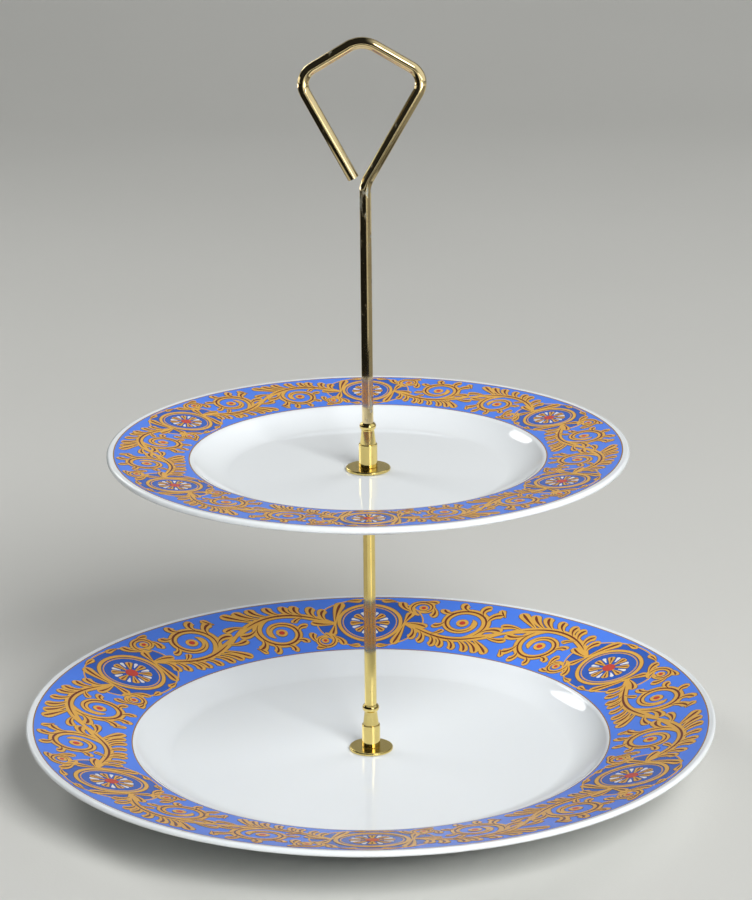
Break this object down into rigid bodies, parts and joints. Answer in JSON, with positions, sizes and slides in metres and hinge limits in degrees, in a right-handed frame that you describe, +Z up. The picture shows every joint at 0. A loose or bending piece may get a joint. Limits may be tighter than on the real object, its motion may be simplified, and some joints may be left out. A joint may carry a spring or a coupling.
{
  "type": "tiered serving tray",
  "caption": "Tiered serving tray: porcelain plates with printed rims stacked on a gold-plated screwed stem, carried by a bent-wire loop.",
  "frame": {"origin": "on the table, under the stem's axis", "axes": "+Z up along the stem, +X towards the leg of the carrying loop that runs on from the shank"},
  "size_m": [0.27, 0.27, 0.2916],
  "materials": {
    "porcelain": "glossy glaze with a printed rim",
    "gold_plate": "polished gold plating, lightly worn",
    "brass": "plain machined brass",
    "felt": "matt felt"
  },
  "bodies": {
    "lower_plate": {"lower_plate": "porcelain"},
    "stem": {"base_screw": "brass", "base_washer": "brass", "base_pad": "felt", "lower_pad": "felt", "lower_flange": "gold_plate", "lower_ferrule": "gold_plate", "lower_rod": "gold_plate", "support_nut": "brass", "support_flange": "gold_plate", "support_pad": "felt"},
    "upper_plate": {"upper_plate": "porcelain", "upper_pad": "felt", "upper_flange": "gold_plate"},
    "upper_ferrule": {"upper_ferrule": "gold_plate"},
    "handle": {"handle": "gold_plate"}
  },
  "joints": [
    {"name": "stem_turn", "type": "hinge", "parent": "lower_plate", "child": "stem", "pos_m": [0, 0, 0], "axis": [0, 0, 1], "continuous": true},
    {"name": "upper_plate_turn", "type": "hinge", "parent": "stem", "child": "upper_plate", "pos_m": [0, 0, 0.1159], "axis": [0, 0, 1], "continuous": true},
    {"name": "handle_rise", "type": "slide", "parent": "stem", "child": "upper_ferrule", "axis": [0, 0, 1], "range_m": [0, 0.007]},
    {"name": "handle_turn", "type": "hinge", "parent": "upper_ferrule", "child": "handle", "pos_m": [0, 0, 0.1436], "axis": [0, 0, 1], "range_deg": [0, 3600]}
  ],
  "couplings": [
    {"joint": "handle_turn", "follows": "handle_rise", "rad_per_m": 8976}
  ]
}
